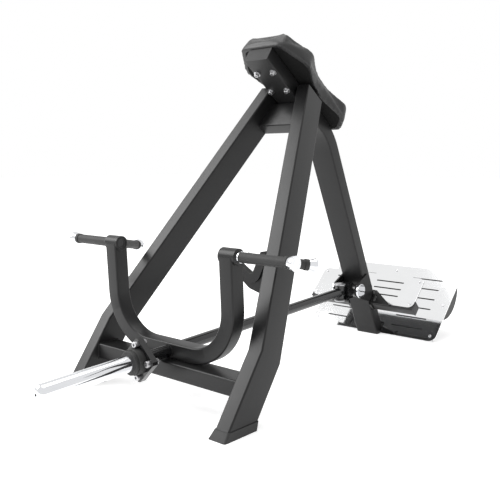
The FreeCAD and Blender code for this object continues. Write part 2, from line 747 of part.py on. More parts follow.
def flange_plate(start):
    """Square plate standing on a corner, with its corners cut off and four bolt holes."""
    tip = FLANGE_TIP
    side = FLANGE_SIDE / math.sqrt(2) - tip
    points = [(tip, -side), (tip, side), (side, tip), (-side, tip),
              (-tip, side), (-tip, -side), (-side, -tip), (side, -tip)]
    corners = [(x, z, FLANGE_CORNER) for x, z in points]
    plate = prism(in_xz(corners, start), Y_AXIS * FLANGE_PLATE)
    for place in flange_bolt_places():
        plate = plate.cut(rod(place + V(0, start, 0), Y_AXIS, FLANGE_BOLT_R, FLANGE_PLATE))
    return on_lever(plate)


def flange_bolts():
    bolts = []
    for place in flange_bolt_places():
        seat = place + V(0, -FLANGE_FRONT, 0)
        shank = rod(seat, Y_AXIS, FLANGE_BOLT_R, 2 * FLANGE_PLATE + FLANGE_NUT + FLANGE_BOLT_TAIL)
        bolts.append(shank.fuse(socket_head(seat, -Y_AXIS, FLANGE_HEAD_R, FLANGE_HEAD)))
    return on_lever(Part.makeCompound(bolts))


def flange_nuts():
    nuts = []
    for place in flange_bolt_places():
        seat = place + V(0, -FLANGE_AT, 0)
        corner = X_AXIS * FLANGE_NUT_R
        rim = [seat + FreeCAD.Rotation(Y_AXIS, HEX_TURN * i).multVec(corner) for i in range(6)]
        nut = Part.Face(Part.makePolygon(rim + rim[:1])).extrude(Y_AXIS * FLANGE_NUT)
        nuts.append(nut.cut(rod(seat, Y_AXIS, FLANGE_BOLT_R, FLANGE_NUT)))
    return on_lever(Part.makeCompound(nuts))


def collar_bumper():
    """Stepped rubber collar that the weight plates stand against."""
    seat = V(0, -FLANGE_FRONT, 0)
    collar = rounded_rod(seat, -Y_AXIS, COLLAR_R, COLLAR_LONG - COLLAR_LIP, COLLAR_EDGE)
    collar = collar.fuse(rounded_rod(seat, -Y_AXIS, COLLAR_LIP_R, COLLAR_LONG, COLLAR_EDGE))
    return on_lever(collar.cut(rod(seat, -Y_AXIS, SLEEVE_R - COLLAR_SEAT, COLLAR_LONG)))


def weight_sleeve():
    start = V(0, -FLANGE_FRONT, 0)
    length = SLEEVE_REACH - FLANGE_FRONT - SLEEVE_PLUG
    tube = ring(start, -Y_AXIS, SLEEVE_R, SLEEVE_R - SLEEVE_WALL, length)
    turned = ring(start, -Y_AXIS, SLEEVE_R, SLEEVE_R - COLLAR_SEAT, COLLAR_LONG + COLLAR_GAP)
    return on_lever(tube.cut(turned))


def sleeve_end_plug():
    """Domed end of the sleeve, with a spigot inside the tube and an eye in its middle."""
    seat = V(0, -SLEEVE_REACH + SLEEVE_PLUG, 0)
    dome = rounded_rod(seat, -Y_AXIS, SLEEVE_R, SLEEVE_PLUG, SLEEVE_ROUND)
    spigot = rod(seat, Y_AXIS, SLEEVE_R - SLEEVE_WALL, SLEEVE_PLUG)
    eye = rod(V(0, -SLEEVE_REACH, 0), Y_AXIS, SLEEVE_EYE_R, SLEEVE_EYE_DEEP)
    return on_lever(dome.fuse(spigot).cut(eye))


# ---- yoke and grips ----

def yoke_path():
    """Middle line of the yoke: down one arm, across below and up the other."""
    bend_x = YOKE_ARM_MID - YOKE_R
    dip = YOKE_R * math.sqrt(0.5)
    right = [V(YOKE_ARM_MID, 0, GRIP_UP), V(YOKE_ARM_MID, 0, YOKE_R), V(bend_x, 0, 0)]
    turn = V(bend_x + dip, 0, YOKE_R - dip)
    left = [V(-p.x, 0, p.z) for p in right]
    edges = [Part.LineSegment(right[0], right[1]).toShape(),
             Part.Arc(right[1], turn, right[2]).toShape(),
             Part.LineSegment(right[2], left[2]).toShape(),
             Part.Arc(left[2], V(-turn.x, 0, turn.z), left[1]).toShape(),
             Part.LineSegment(left[1], left[0]).toShape()]
    return Part.Wire(edges).translated(V(0, -YOKE_MID, 0))


def yoke():
    """Bent U tube round the lever bar, its arms coped to the grip bosses."""
    path = yoke_path()
    outer = bent_tube(path, -Z_AXIS, X_AXIS, YOKE_WIDE, TUBE_DEEP)
    inner = bent_tube(path, -Z_AXIS, X_AXIS, YOKE_WIDE, TUBE_DEEP, TUBE_CORNER, TUBE_WALL)
    tube = outer.cut(inner)
    tube = tube.cut(rod(V(0, -YOKE_MID - TUBE_DEEP, 0), Y_AXIS, BAR_R, 2 * TUBE_DEEP))
    boss = rod(V(-2 * LEG_INNER, -YOKE_MID, GRIP_UP), X_AXIS, BOSS_R, 4 * LEG_INNER)
    return on_lever(tube.cut(boss))


def boss_centre():
    return V(YOKE_ARM_MID, -YOKE_MID, GRIP_UP)


def handle_boss(side):
    """Round boss on top of a yoke arm. Its bore is open towards the middle."""
    start = V(BOSS_IN_X, -YOKE_MID, GRIP_UP)
    boss = rod(start, X_AXIS, BOSS_R, BOSS_OUT_X - BOSS_IN_X)
    ends = [edge for edge in boss.Edges if edge.BoundBox.XLength < 0.1 and edge.Length > BOSS_R]
    boss = boss.makeChamfer(DISC_EDGE, ends)
    boss = boss.cut(rod(start, X_AXIS, BOSS_BORE_R, BOSS_BORE_DEEP))
    return on_lever(boss if side > 0 else mirrored(boss))


def boss_end_discs():
    """Plastic plugs in the open ends of the bosses, with a shallow dish."""
    start = V(BOSS_IN_X + END_DISC_DISH, -YOKE_MID, GRIP_UP)
    plug = rod(start, X_AXIS, BOSS_BORE_R, END_DISC_DEEP)
    plug = plug.cut(rod(start, X_AXIS, END_DISC_R, END_DISC_DISH))
    return on_lever(both_sides(plug))


def grip_places():
    """Start, direction and length of the outer and the rear grip on the +X side, lever frame."""
    level = math.cos(rad(REAR_GRIP_DROP))
    along = V(level * math.sin(rad(REAR_GRIP_OUT)), level * math.cos(rad(REAR_GRIP_OUT)),
              -math.sin(rad(REAR_GRIP_DROP)))
    outer = (V(BOSS_OUT_X, -YOKE_MID, GRIP_UP), X_AXIS, OUTER_GRIP_LONG)
    rear = (boss_centre() + along * REAR_GRIP_START, along, REAR_GRIP_LONG)
    return outer, rear


def grip_bar(place, stub):
    """Steel bar from the boss, through ring and grip, into the end cap."""
    start, along, length = place
    bar = rod(start - along * stub, along, GRIP_BAR_R, stub + GRIP_RING + length + GRIP_CAP / 2)
    boss = rod(V(0, -YOKE_MID, GRIP_UP), X_AXIS, BOSS_R, BOSS_OUT_X)
    arm = block(YOKE_ARM_X, YOKE_ARM_X + YOKE_WIDE, -YOKE_MID - TUBE_DEEP / 2, -YOKE_MID + TUBE_DEEP / 2,
                0, GRIP_UP)
    return on_lever(both_sides(bar.cut(boss).cut(arm)))


def grip_ring(place):
    start, along, _ = place
    return both_sides(ring(start, along, GRIP_RING_R, GRIP_BAR_R, GRIP_RING))


def grip_sleeve(place):
    """Rubber grip with a thicker rim at its outer end."""
    start, along, length = place
    seat = start + along * GRIP_RING
    body = rod(seat, along, GRIP_R, length)
    body = body.fuse(rod(seat + along * (length - GRIP_RIM), along, GRIP_RIM_R, GRIP_RIM))
    return on_lever(both_sides(body.cut(rod(seat, along, GRIP_BAR_R, length))))


def grip_cap(place):
    """Flared end cap with a groove turned in its face."""
    start, along, length = place
    seat = start + along * (GRIP_RING + length)
    flare_long = GRIP_CAP * GRIP_CAP_FLARE
    flare = Part.makeCone(GRIP_R, GRIP_CAP_R, flare_long, seat, along)
    face = rounded_rod(seat + along * flare_long, along, GRIP_CAP_R, GRIP_CAP - flare_long, DISC_EDGE)
    cap = flare.fuse(face).cut(rod(seat, along, GRIP_BAR_R, GRIP_CAP / 2))
    groove = ring(seat + along * (GRIP_CAP - SIDE_GAP), along, GRIP_R, GRIP_BAR_R, GRIP_CAP)
    return both_sides(cap.cut(groove))


def grip_rings():
    return on_lever(Part.makeCompound([grip_ring(place) for place in grip_places()]))


def grip_caps():
    return on_lever(Part.makeCompound([grip_cap(place) for place in grip_places()]))


# ---- footplates ----

def slot(inner, outer, row):
    """Round-ended slot across a footplate, as the solid that cuts it."""
    half = SLOT_HIGH / 2
    low, high = sorted((inner, outer))
    corners = [(low, row - half, half - 0.01), (high, row - half, half - 0.01),
               (high, row + half, half - 0.01), (low, row + half, half - 0.01)]
    return prism(in_xy(corners, -2 * TREAD_THICK), Z_AXIS * (4 * TREAD_THICK))


def tread(half, length, corner, notch_up):
    """Footplate with rounded corners, cut out at its lower edge for the post."""
    corners = [(-half, 0, corner), (half, 0, corner), (half, length, corner), (-half, length, corner)]
    plate = prism(in_xy(corners, -TREAD_THICK), Z_AXIS * TREAD_THICK)
    side = BEAM_HALF + NOTCH_GAP
    notch = [(-side, -length, 0.0), (side, -length, 0.0), (side, notch_up, 8.0), (-side, notch_up, 8.0)]
    return plate.cut(prism(in_xy(notch, -2 * TREAD_THICK), Z_AXIS * (4 * TREAD_THICK)))


def footplate():
    plate = tread(PLATE_HALF, PLATE_LONG, PLATE_CORNER, PLATE_NOTCH_UP)
    for i in range(PLATE_SLOTS):
        row = PLATE_SLOT_PITCH * (i + 1)
        for side in SIDES:
            plate = plate.cut(slot(side * PLATE_SLOT_IN, side * PLATE_SLOT_OUT, row))
    for x, row in plate_screw_places():
        plate = plate.cut(rod(V(x, row, -2 * TREAD_THICK), Z_AXIS, SCREW_R, 4 * TREAD_THICK))
    return on_plate(plate)


def plate_screw_places():
    places = [(side * PLATE_SCREW_X, row) for side in SIDES for row in PLATE_SCREW_ROWS]
    return places + [(0.0, PLATE_SCREW_ROWS[-1])]


def step_screw_places():
    return [(side * STEP_SCREW_X, row) for side in SIDES for row in STEP_SCREW_ROWS]


def step_plate():
    plate = tread(STEP_HALF, STEP_LONG, STEP_CORNER, STEP_NOTCH_UP)
    for row, inner in STEP_SLOT_ROWS:
        for side in SIDES:
            plate = plate.cut(slot(side * inner, side * STEP_SLOT_OUT, row))
    for x, row in step_screw_places():
        plate = plate.cut(rod(V(x, row, -2 * TREAD_THICK), Z_AXIS, SCREW_R, 4 * TREAD_THICK))
    return on_step(plate)


def screw(x, row, depth):
    seat = V(x, row, 0)
    head = rounded_rod(seat, Z_AXIS, SCREW_HEAD_R, SCREW_HEAD, DISC_EDGE)
    return head.fuse(rod(seat, -Z_AXIS, SCREW_R, depth))


def tread_screws():
    """Round-headed screws that hold both footplates down on their rails."""
    depth = TREAD_THICK + RAIL_THICK
    large = [on_plate(screw(x, row, depth)) for x, row in plate_screw_places()]
    small = [on_step(screw(x, row, TREAD_THICK + (RAIL_THICK if row > STEP_TUBE_SIDE else TUBE_WALL)))
             for x, row in step_screw_places()]
    return Part.makeCompound(large + small)


def screw_holes(places):
    """Solids that clear the screws from what lies under a footplate."""
    return [rod(V(x, row, -TREAD_THICK - RAIL_THICK), Z_AXIS, SCREW_R, TREAD_THICK + RAIL_THICK)
            for x, row in places]


def plate_rails():
    """Flat bars under the large plate: one up each side and two across."""
    low = -TREAD_THICK - RAIL_THICK
    inner = PLATE_SCREW_X - RAIL_WIDE / 2
    bars = [block(side * PLATE_SCREW_X - RAIL_WIDE / 2, side * PLATE_SCREW_X + RAIL_WIDE / 2,
                  PLATE_SCREW_ROWS[0] - RAIL_WIDE / 2, PLATE_LONG - RAIL_THICK, low, -TREAD_THICK)
            for side in SIDES]
    bars += [block(-inner, inner, row - RAIL_WIDE / 2, row + RAIL_WIDE / 2, low, -TREAD_THICK)
             for row in CROSS_RAIL_ROWS]
    for hole in screw_holes(plate_screw_places()):
        bars = [bar.cut(hole) for bar in bars]
    return on_plate(Part.makeCompound(bars))


def plate_skirts():
    """Curved side plates that stiffen the large plate from behind."""
    low = -TREAD_THICK
    outer = PLATE_SCREW_X + RAIL_WIDE / 2 + SKIRT_THICK
    middle = (SKIRT_FROM + SKIRT_TO) / 2
    start = V(outer - SKIRT_THICK, SKIRT_FROM, low)
    end = V(outer - SKIRT_THICK, SKIRT_TO, low)
    bulge = Part.Arc(start, V(start.x, middle + SKIRT_SWELL, low - SKIRT_DEEP), end).toShape()
    face = Part.Face(Part.Wire([bulge, Part.LineSegment(end, start).toShape()]))
    return on_plate(both_sides(face.extrude(X_AXIS * SKIRT_THICK)))


def spine_tube():
    """Low tube from the back of the post to the rear foot tube."""
    middle = V(0, POST_FOOT_Y, FLOOR_RUBBER + SPINE_HIGH / 2)
    run = Y_AXIS * (REAR_TUBE_Y - POST_FOOT_Y)
    tube = straight_tube(middle, run, X_AXIS, SPINE_WIDE, SPINE_HIGH)
    return tube.cut(post_solid())


def rear_foot_tube():
    middle = V(-REAR_TUBE_HALF, REAR_TUBE_Y + REAR_TUBE_DEEP / 2, FLOOR_RUBBER + REAR_TUBE_HIGH / 2)
    return straight_tube(middle, X_AXIS * (2 * REAR_TUBE_HALF), Y_AXIS, REAR_TUBE_DEEP, REAR_TUBE_HIGH)


def rear_foot_pads():
    """Rubber shoes over the ends of the rear foot tube, down to the floor."""
    room = block(REAR_TUBE_HALF - TUBE_DEEP, REAR_TUBE_HALF + TUBE_WALL, REAR_TUBE_Y - TUBE_WALL,
                 REAR_TUBE_Y + REAR_TUBE_DEEP + TUBE_WALL, 0, FLOOR_RUBBER + REAR_TUBE_HIGH * 0.4)
    middle = V(-REAR_TUBE_HALF, REAR_TUBE_Y + REAR_TUBE_DEEP / 2, FLOOR_RUBBER + REAR_TUBE_HIGH / 2)
    held = straight_tube(middle, X_AXIS * (2 * REAR_TUBE_HALF), Y_AXIS, REAR_TUBE_DEEP, REAR_TUBE_HIGH,
                         TUBE_CORNER, REAR_TUBE_HIGH / 2 - 1.0)
    core = block(-REAR_TUBE_HALF, REAR_TUBE_HALF,
                 REAR_TUBE_Y + TUBE_WALL, REAR_TUBE_Y + REAR_TUBE_DEEP - TUBE_WALL,
                 FLOOR_RUBBER + TUBE_WALL, FLOOR_RUBBER + REAR_TUBE_HIGH - TUBE_WALL)
    return both_sides(room.cut(held).cut(core))


def plate_props():
    """Upright tubes from the rear foot tube to the cross rails of the large plate."""
    base = FLOOR_RUBBER + REAR_TUBE_HIGH
    middle = V(PROP_X, REAR_TUBE_Y + REAR_TUBE_DEEP / 2, base)
    tube = straight_tube(middle, Z_AXIS * PLATE_LONG, X_AXIS, PROP_WIDE, PROP_DEEP)
    above = block(-PLATE_LONG, PLATE_LONG, -PLATE_LONG, 2 * PLATE_LONG, -TREAD_THICK - RAIL_THICK, PLATE_LONG)
    return both_sides(tube.cut(on_plate(above)))


def step_tube_frame():
    """Lower and upper edge, and front and back face, of the step tube in the step's frame."""
    low = -STEP_TUBE_UNDER
    return low, low + STEP_TUBE_SIDE, -TREAD_THICK, -TREAD_THICK - STEP_TUBE_SIDE


def step_tubes():
    """Square tubes from the brackets on the post to the ends of the small plate."""
    low, high, front, back = step_tube_frame()
    start = BEAM_HALF + STEP_BRACKET
    middle = V(start, (low + high) / 2, (front + back) / 2)
    tube = straight_tube(middle, X_AXIS * (STEP_HALF - start), Y_AXIS, STEP_TUBE_SIDE, STEP_TUBE_SIDE)
    for hole in screw_holes(step_screw_places()):
        tube = tube.cut(hole)
    return on_step(both_sides(tube))


def step_tube_caps():
    low, high, front, back = step_tube_frame()
    cap = block(STEP_HALF, STEP_HALF + STEP_CAP, low, high, back, front)
    edges = [edge for edge in cap.Edges if edge.BoundBox.XMin > STEP_HALF + STEP_CAP - 0.01]
    cap = cap.makeFillet(STEP_CAP * 0.6, edges)
    inset = TUBE_WALL + 1.0
    plug = block(STEP_HALF - 3 * STEP_CAP, STEP_HALF, low + inset, high - inset, back + inset, front - inset)
    return on_step(both_sides(cap.fuse(plug)))


def step_brackets():
    """Thick side plates welded to the post, square to the step tubes."""
    low, high, front, back = step_tube_frame()
    margin = 6.0
    corners = [(low - margin, back - margin, 8.0), (high + margin, back - margin, 8.0),
               (high + margin, front, 2.0), (low - margin, front, 2.0)]
    plate = [(V(BEAM_HALF, row, out), turn) for row, out, turn in corners]
    return on_step(both_sides(prism(plate, X_AXIS * STEP_BRACKET)))


def step_gussets():
    """Slotted triangular plates in front of the small plate, beside the post."""
    start = BEAM_HALF + CHEEK + SIDE_GAP
    corners = [(start, -STEP_TUBE_UNDER, 3.0), (start + GUSSET_REACH, -STEP_TUBE_UNDER, 3.0),
               (start, GUSSET_HIGH, 3.0)]
    plate = prism(in_xy(corners, SIDE_GAP), Z_AXIS * GUSSET)
    opening = prism(in_xy([(start + 9.0, 4.0, 3.0), (start + 19.0, 4.0, 3.0), (start + 19.0, 36.0, 3.0),
                           (start + 9.0, 36.0, 3.0)], -GUSSET), Z_AXIS * (3 * GUSSET))
    return on_step(both_sides(plate.cut(opening)))


def step_rails():
    """Short flat bars under the ends of the small plate, above its tube."""
    low, high, front, back = step_tube_frame()
    bar = block(STEP_SCREW_X - RAIL_WIDE / 2, STEP_HALF - 2.0, high, STEP_LONG - STEP_CORNER / 2,
                front - RAIL_THICK, front)
    for hole in screw_holes(step_screw_places()):
        bar = bar.cut(hole)
    return on_step(both_sides(bar))


# ---- writing the nodes ----

def footprint_mid():
    """Middle of the footprint: sleeve tip at the front, footplate's upper edge behind."""
    drop = rad(LEVER_DROP)
    level = (SLEEVE_REACH - SLEEVE_ROUND) * math.cos(drop) + (SLEEVE_R - SLEEVE_ROUND) * math.sin(drop)
    tip = PIVOT_Y - level - SLEEVE_ROUND
    slope = rad(TREAD_SLOPE)
    back = PLATE_Y + PLATE_LONG * math.cos(slope) + TREAD_THICK * math.sin(slope)
    return (tip + back) / 2


def nodes():
    outer, rear = grip_places()
    return {
        "front_leg_left": front_leg(-1),
        "front_leg_right": front_leg(1),
        "foot_cap_left": foot_cap(-1),
        "foot_cap_right": foot_cap(1),
        "lower_cross_tube": lower_cross_tube(),
        "upper_cross_tube": upper_cross_tube(),
        "yoke_stop_pads": stop_pads(),
        "rear_post": rear_post(),
        "post_foot": post_foot(),
        "beam_end_plate": beam_end_plate(),
        "pad_board": pad_board(),
        "chest_pad": chest_pad(),
        "pad_bolts": pad_bolts(),
        "pad_washers": pad_washers(),
        "catch_hook": catch_hook(),
        "catch_liner": catch_liner(),
        "catch_web": catch_web(),
        "pivot_cheek_left": pivot_cheek(-1),
        "pivot_cheek_right": pivot_cheek(1),
        "cross_pin": cross_pin(),
        "pin_discs": pin_discs(),
        "thrust_rings": thrust_rings(),
        "hub_bushes": hub_bushes(),
        "knuckle": knuckle(),
        "swivel_pin": swivel_pin(),
        "swivel_caps": swivel_caps(),
        "swivel_barrel": swivel_barrel(),
        "barrel_bushes": barrel_bushes(),
        "lever_bar": lever_bar(),
        "flange_rear_plate": flange_plate(-FLANGE_AT - FLANGE_PLATE),
        "flange_front_plate": flange_plate(-FLANGE_FRONT),
        "flange_bolts": flange_bolts(),
        "flange_nuts": flange_nuts(),
        "collar_bumper": collar_bumper(),
        "weight_sleeve": weight_sleeve(),
        "sleeve_end_plug": sleeve_end_plug(),
        "yoke": yoke(),
        "handle_boss_left": handle_boss(-1),
        "handle_boss_right": handle_boss(1),
        "boss_end_discs": boss_end_discs(),
        "outer_grip_bars": grip_bar(outer, 0.0),
        "rear_grip_bars": grip_bar(rear, REAR_GRIP_START),
        "outer_grips": grip_sleeve(outer),
        "rear_grips": grip_sleeve(rear),
        "grip_rings": grip_rings(),
        "grip_end_caps": grip_caps(),
        "footplate": footplate(),
        "footplate_rails": plate_rails(),
        "footplate_skirts": plate_skirts(),
        "spine_tube": spine_tube(),
        "rear_foot_tube": rear_foot_tube(),
        "rear_foot_pads": rear_foot_pads(),
        "footplate_props": plate_props(),
        "step_plate": step_plate(),
        "step_tubes": step_tubes(),
        "step_tube_caps": step_tube_caps(),
        "step_brackets": step_brackets(),
        "step_gussets": step_gussets(),
        "step_rails": step_rails(),
        "tread_screws": tread_screws(),
    }


def main():
    os.makedirs("parts", exist_ok=True)
    shift = V(0, -footprint_mid(), 0)
    for name, shape in nodes().items():
        placed = shape.translated(shift)
        placed.exportStep(os.path.join("parts", name + ".step"))
        print(name, len(placed.Solids), round(placed.Volume), placed.isValid())


main()
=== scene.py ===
"""Looks of the chest-supported lever row: finishes, upholstery, welds, light and camera."""

import json
import logging
import math
from dataclasses import dataclass
from enum import Enum
from typing import Any, Optional, Protocol

import bmesh
import bpy
from mathutils import Matrix, Vector


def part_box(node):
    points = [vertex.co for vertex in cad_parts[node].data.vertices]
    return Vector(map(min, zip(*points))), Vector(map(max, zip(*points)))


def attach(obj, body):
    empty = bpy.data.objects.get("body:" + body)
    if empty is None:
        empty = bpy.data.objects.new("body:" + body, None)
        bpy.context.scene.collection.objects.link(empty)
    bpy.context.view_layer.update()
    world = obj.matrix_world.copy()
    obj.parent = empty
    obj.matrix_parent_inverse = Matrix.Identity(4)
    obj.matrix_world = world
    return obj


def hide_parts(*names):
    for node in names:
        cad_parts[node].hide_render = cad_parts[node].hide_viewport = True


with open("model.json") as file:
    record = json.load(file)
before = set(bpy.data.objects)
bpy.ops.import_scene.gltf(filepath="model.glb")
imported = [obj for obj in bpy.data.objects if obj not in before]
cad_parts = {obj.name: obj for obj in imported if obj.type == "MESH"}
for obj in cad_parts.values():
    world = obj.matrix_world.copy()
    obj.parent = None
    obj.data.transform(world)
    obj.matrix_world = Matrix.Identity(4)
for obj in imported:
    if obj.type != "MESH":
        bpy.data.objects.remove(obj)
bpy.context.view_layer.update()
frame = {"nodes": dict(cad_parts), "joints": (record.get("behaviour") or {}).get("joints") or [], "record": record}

LOG = logging.getLogger("lever_row")
MM = 0.001
Triple = tuple[float, float, float]
WHITE: Triple = (1.0, 1.0, 1.0)
EVEN: Triple = (1.0, 1.0, 1.0)


# ---- shader building ----

class Wire:
    """One shader socket, with arithmetic that adds Math nodes."""

    def __init__(self, shop: "Shader", socket: bpy.types.NodeSocket) -> None:
        """Keeps the shader and one of its output sockets."""
        self.shop = shop
        self.socket = socket

    def _math(self, operation: str, first: Any, second: Any) -> "Wire":
        """Adds a Math node and returns its value."""
        return self.shop.node("ShaderNodeMath", {"operation": operation}, {0: first, 1: second})

    def __add__(self, other: Any) -> "Wire":
        """Returns self + other."""
        return self._math("ADD", self, other)

    def __radd__(self, other: Any) -> "Wire":
        """Returns other + self."""
        return self._math("ADD", other, self)

    def __sub__(self, other: Any) -> "Wire":
        """Returns self - other."""
        return self._math("SUBTRACT", self, other)

    def __rsub__(self, other: Any) -> "Wire":
        """Returns other - self."""
        return self._math("SUBTRACT", other, self)

    def __mul__(self, other: Any) -> "Wire":
        """Returns self * other."""
        return self._math("MULTIPLY", self, other)

    def __rmul__(self, other: Any) -> "Wire":
        """Returns other * self."""
        return self._math("MULTIPLY", other, self)


class Shader:
    """A material under construction around one Principled shader."""

    def __init__(self, name: str) -> None:
        """Starts an empty material.

        Args:
            name: the material's name.
        """
        self.material = bpy.data.materials.new(name)
        self.material.use_nodes = True
        self.tree = self.material.node_tree
        self.tree.nodes.clear()
        self.surface = self.tree.nodes.new("ShaderNodeBsdfPrincipled")
        out = self.tree.nodes.new("ShaderNodeOutputMaterial")
        self.tree.links.new(self.surface.outputs[0], out.inputs["Surface"])

    def node(self, kind: str, settings: Optional[dict[str, Any]] = None,
             inputs: Optional[dict[Any, Any]] = None, output: Any = 0) -> Wire:
        """Adds a node.

        Args:
            kind: node type.
            settings: properties set before the sockets.
            inputs: socket name or number to a value or a Wire.
            output: name or number of the output to use.

        Returns:
            The chosen output.
        """
        made = self.tree.nodes.new(kind)
        for key, value in (settings or {}).items():
            setattr(made, key, value)
        for key, value in (inputs or {}).items():
            if isinstance(value, Wire):
                self.tree.links.new(value.socket, made.inputs[key])
            else:
                made.inputs[key].default_value = value
        return Wire(self, made.outputs[output])

    def place(self, stretch: Triple) -> Wire:
        """Returns Object coordinates, stretched along X, Y and Z."""
        where = self.node("ShaderNodeTexCoord", output="Object")
        return self.node("ShaderNodeMapping", {}, {"Vector": where, "Scale": stretch})

    def noise(self, scale: float, detail: float, stretch: Triple = EVEN) -> Wire:
        """Returns a cloudy pattern from 0 to 1, with so many lumps per metre."""
        inputs = {"Vector": self.place(stretch), "Scale": scale, "Detail": detail}
        return self.node("ShaderNodeTexNoise", {}, inputs)

    def cells(self, scale: float) -> Wire:
        """Returns the distance to cell walls, with so many cells per metre."""
        settings = {"feature": "DISTANCE_TO_EDGE"}
        return self.node("ShaderNodeTexVoronoi", settings, {"Vector": self.place(EVEN), "Scale": scale})

    def blend(self, share: Wire, first: Triple, second: Triple) -> Wire:
        """Returns a colour between two, by a share from 0 to 1."""
        inputs = {0: share, 6: (*first, 1.0), 7: (*second, 1.0)}
        return self.node("ShaderNodeMix", {"data_type": "RGBA"}, inputs, output=2)

    def relief(self, height: Wire, depth: float, strength: float = 1.0) -> Wire:
        """Returns a normal from a height of 0 to 1 and a depth in metres."""
        inputs = {"Height": height, "Distance": depth, "Strength": strength}
        return self.node("ShaderNodeBump", {}, inputs)

    def dress(self, **sockets: Any) -> bpy.types.Material:
        """Sets the Principled shader's sockets.

        Args:
            sockets: socket name, with _ for a space, to a value, a colour or a Wire.

        Returns:
            The finished material.
        """
        for key, value in sockets.items():
            socket = self.surface.inputs[key.replace("_", " ")]
            if isinstance(value, Wire):
                self.tree.links.new(value.socket, socket)
            elif isinstance(value, tuple):
                socket.default_value = (*value, 1.0)
            else:
                socket.default_value = value
        return self.material


# ---- finishes ----

class Slot(Enum):
    """The record's material slots."""

    FRAME = "frame_paint"
    LEVER = "lever_paint"
    CHROME = "chrome"
    STAINLESS = "stainless"
    FASTENERS = "fasteners"
    PINS = "pins"
    BRONZE = "bronze"
    RUBBER = "rubber"
    PLASTIC = "plastic"
    UPHOLSTERY = "upholstery"
    BOARD = "board_cloth"


class Finish(Protocol):
    """Anything that makes a material."""

    def build(self, name: str) -> bpy.types.Material:
        """Returns the material."""


@dataclass(frozen=True)
class PaintFinish:
    """Powder coat or gloss paint over steel."""

    dark: Triple
    light: Triple
    rough: float
    rough_swing: float
    peel: float
    coat: float
    shine: float
    cloud_scale: float = 9.0
    peel_scale: float = 700.0
    grain_scale: float = 2600.0
    grain_rough: float = 0.05
    coat_rough: float = 0.12

    def build(self, name: str) -> bpy.types.Material:
        """Makes faint clouds in the colour over orange peel.

        Args:
            name: the material's name.

        Returns:
            The material.
        """
        shop = Shader(name)
        clouds = shop.noise(self.cloud_scale, 4.0)
        peel = shop.noise(self.peel_scale, 2.0)
        grain = shop.noise(self.grain_scale, 1.0)
        rough = self.rough + (clouds - 0.5) * self.rough_swing + (grain - 0.5) * self.grain_rough
        return shop.dress(Base_Color=shop.blend(clouds * 0.7 + grain * 0.3, self.dark, self.light),
                          Roughness=rough, Coat_Weight=self.coat, Coat_Roughness=self.coat_rough,
                          Specular_IOR_Level=self.shine,
                          Normal=shop.relief(peel * 0.8 + grain * 0.2, self.peel))


@dataclass(frozen=True)
class MetalFinish:
    """Bare or plated metal, with fine marks along one direction."""

    dark: Triple
    light: Triple
    rough: float
    rough_swing: float
    stretch: Triple
    marks: float
    streak_scale: float = 260.0
    smudge_scale: float = 14.0

    def build(self, name: str) -> bpy.types.Material:
        """Makes fine streaks under soft smudges.

        Args:
            name: the material's name.

        Returns:
            The material.
        """
        shop = Shader(name)
        streaks = shop.noise(self.streak_scale, 4.0, self.stretch)
        smudge = shop.noise(self.smudge_scale, 3.0)
        rough = self.rough + (smudge * 0.5 + streaks * 0.5) * self.rough_swing
        return shop.dress(Base_Color=shop.blend(smudge * 0.6 + streaks * 0.4, self.dark, self.light),
                          Metallic=1.0, Roughness=rough, Normal=shop.relief(streaks, self.marks))


@dataclass(frozen=True)
class MouldedFinish:
    """Moulded rubber or plastic with a fine grain."""

    dark: Triple
    light: Triple
    rough: float
    grain: float
    depth: float
    cloud_scale: float = 22.0
    cloud_rough: float = 0.16
    grain_rough: float = 0.1

    def build(self, name: str) -> bpy.types.Material:
        """Makes a fine grain with slightly uneven gloss.

        Args:
            name: the material's name.

        Returns:
            The material.
        """
        shop = Shader(name)
        clouds = shop.noise(self.cloud_scale, 3.0)
        grain = shop.noise(self.grain, 2.0)
        rough = self.rough + (clouds - 0.5) * self.cloud_rough + (grain - 0.5) * self.grain_rough
        return shop.dress(Base_Color=shop.blend(clouds, self.dark, self.light), Roughness=rough,
                          Normal=shop.relief(grain, self.depth))


@dataclass(frozen=True)
class VinylFinish:
    """Upholstery vinyl: small pebbled grain, lighter and glossier on the pebble tops and darker between them."""

    dark: Triple
    light: Triple
    rough: float
    pebble: float
    fine_pebble: float = 2.3
    cloud_scale: float = 11.0
    cloud_rough: float = 0.14
    wall_rough: float = 0.12
    depth: float = 0.00035
    strength: float = 0.5

    def build(self, name: str) -> bpy.types.Material:
        """Makes two sizes of pebble, with soft clouds.

        Args:
            name: the material's name.

        Returns:
            The material.
        """
        shop = Shader(name)
        walls = shop.cells(self.pebble)
        fine = shop.cells(self.pebble * self.fine_pebble)
        clouds = shop.noise(self.cloud_scale, 3.0)
        height = walls * 1.6 + fine * 0.8 + clouds * 0.2
        rough = self.rough + (clouds - 0.5) * self.cloud_rough - walls * self.wall_rough
        # The colour is lighter on the pebble tops and darker between the pebbles.
        return shop.dress(Base_Color=shop.blend(clouds * 0.8 + walls * 0.4, self.dark, self.light),
                          Roughness=rough, Normal=shop.relief(height, self.depth, self.strength))


@dataclass(frozen=True)
class ClothFinish:
    """Black cover cloth over the board."""

    dark: Triple
    light: Triple
    threads: float
    thread_long: float = 0.12
    rough: float = 0.78
    thread_rough: float = 0.15
    shine: float = 0.2
    depth: float = 0.0002

    def build(self, name: str) -> bpy.types.Material:
        """Crosses two sets of drawn-out threads.

        Args:
            name: the material's name.

        Returns:
            The material.
        """
        shop = Shader(name)
        across = shop.noise(self.threads, 1.0, (1.0, self.thread_long, self.thread_long))
        along = shop.noise(self.threads, 1.0, (self.thread_long, 1.0, 1.0))
        weave = across * along * 2.0
        return shop.dress(Base_Color=shop.blend(weave, self.dark, self.light),
                          Roughness=self.rough + weave * self.thread_rough,
                          Specular_IOR_Level=self.shine, Normal=shop.relief(weave, self.depth))


